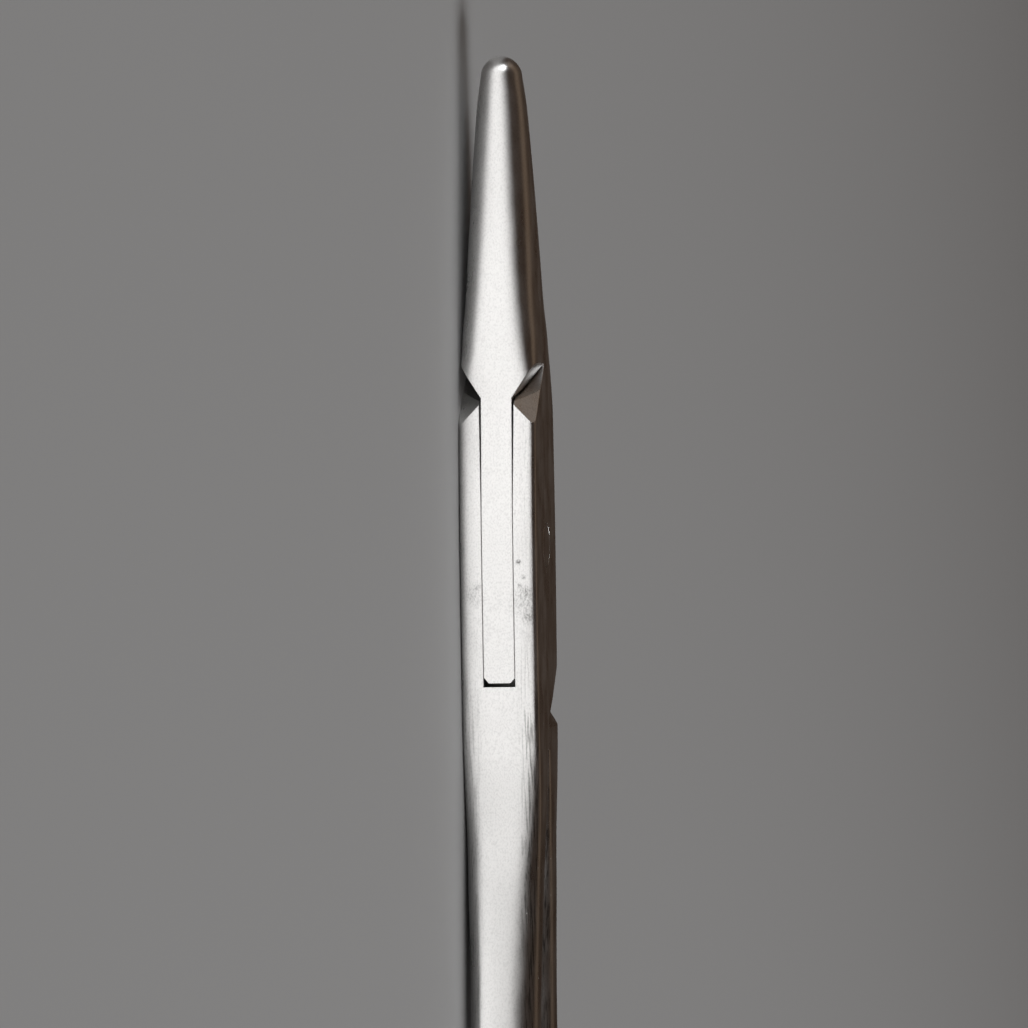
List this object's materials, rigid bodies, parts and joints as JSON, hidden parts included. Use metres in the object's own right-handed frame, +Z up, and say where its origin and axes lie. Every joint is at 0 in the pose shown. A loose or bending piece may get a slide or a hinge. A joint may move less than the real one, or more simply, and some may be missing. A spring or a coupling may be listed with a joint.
{
  "type": "needle holder",
  "caption": "Surgical needle holder with a box lock, blunt tapered jaws with crossed grooves, straight shanks, a ratchet and oval finger rings.",
  "frame": {"origin": "middle of the whole instrument's length and width, on the underside of the box, jaws closed", "axes": "+X towards the jaw tips, +Y towards the ring of the female arm's shank, +Z up through the thickness"},
  "size_m": [0.16, 0.059, 0.0049],
  "materials": {
    "arm_steel": "satin, finely glass-blasted stainless steel",
    "pin_steel": "ground flush, satin"
  },
  "bodies": {
    "female_half": {"female_arm": "arm_steel", "pivot_pin": "pin_steel"},
    "male_half": {"male_arm": "arm_steel"}
  },
  "joints": [
    {"name": "box_lock", "type": "hinge", "parent": "female_half", "child": "male_half", "pos_m": [0.0494, 0, 0.00243], "axis": [0, 0, 1], "range_deg": [0, 35]}
  ]
}
